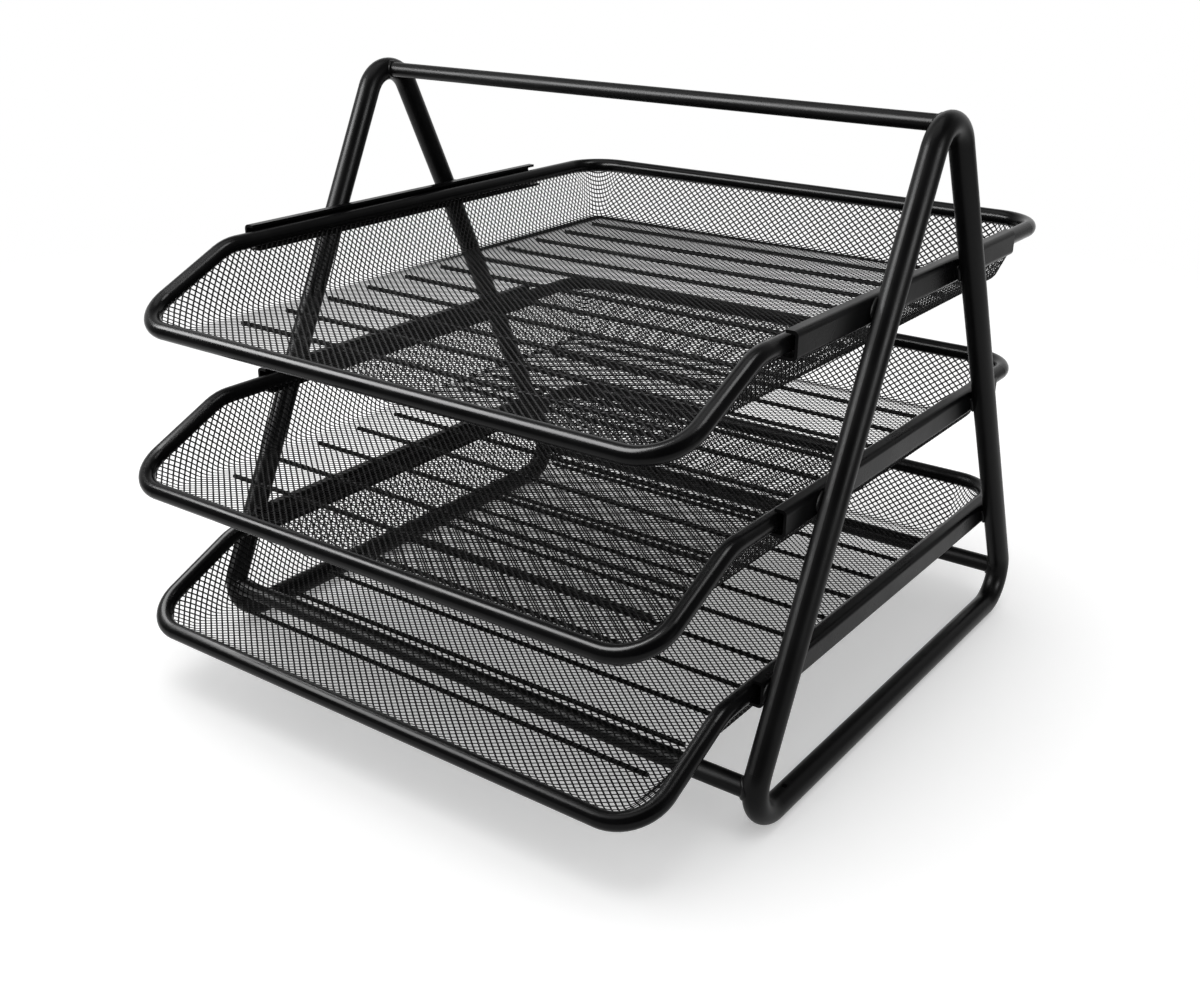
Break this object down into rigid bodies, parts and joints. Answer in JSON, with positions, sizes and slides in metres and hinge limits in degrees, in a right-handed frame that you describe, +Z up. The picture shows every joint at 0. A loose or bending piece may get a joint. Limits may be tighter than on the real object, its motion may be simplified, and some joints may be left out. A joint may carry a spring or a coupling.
{
  "type": "mesh letter tray",
  "caption": "Tiered desk letter tray: wire-rimmed mesh baskets with dipped fronts slide in folded rails between bent-tube side frames with a carry handle",
  "frame": {"origin": "on the desk, under the middle of the space that the trays take up", "axes": "+X to the right seen from the front, +Y to the back, away from the dipped tray fronts, +Z up"},
  "size_m": [0.292, 0.332, 0.25],
  "materials": {
    "tube_coat": "black satin powder coat on bent steel tube",
    "rail_coat": "black satin powder coat on folded steel sheet",
    "rim_coat": "black satin powder coat on bent rim tube",
    "mesh_coat": "black powder coat on expanded steel mesh",
    "wire_coat": "black powder coat on steel wire"
  },
  "bodies": {
    "stand": {"left_side_frame": "tube_coat", "right_side_frame": "tube_coat", "carry_handle": "tube_coat", "front_crossbar": "tube_coat", "rear_crossbar": "tube_coat", "top_left_rail": "rail_coat", "top_right_rail": "rail_coat", "middle_left_rail": "rail_coat", "middle_right_rail": "rail_coat", "bottom_left_rail": "rail_coat", "bottom_right_rail": "rail_coat"},
    "top_tray": {"top_tray_rim": "rim_coat", "top_tray_basket": "mesh_coat", "top_tray_wires": "wire_coat"},
    "middle_tray": {"middle_tray_rim": "rim_coat", "middle_tray_basket": "mesh_coat", "middle_tray_wires": "wire_coat"},
    "bottom_tray": {"bottom_tray_rim": "rim_coat", "bottom_tray_basket": "mesh_coat", "bottom_tray_wires": "wire_coat"}
  },
  "joints": [
    {"name": "top_tray_slide", "type": "slide", "parent": "stand", "child": "top_tray", "axis": [0, -1, 0], "range_m": [-0.001, 0.2]},
    {"name": "middle_tray_slide", "type": "slide", "parent": "stand", "child": "middle_tray", "axis": [0, -1, 0], "range_m": [-0.013, 0.188]},
    {"name": "bottom_tray_slide", "type": "slide", "parent": "stand", "child": "bottom_tray", "axis": [0, -1, 0], "range_m": [-0.013, 0.188]}
  ]
}
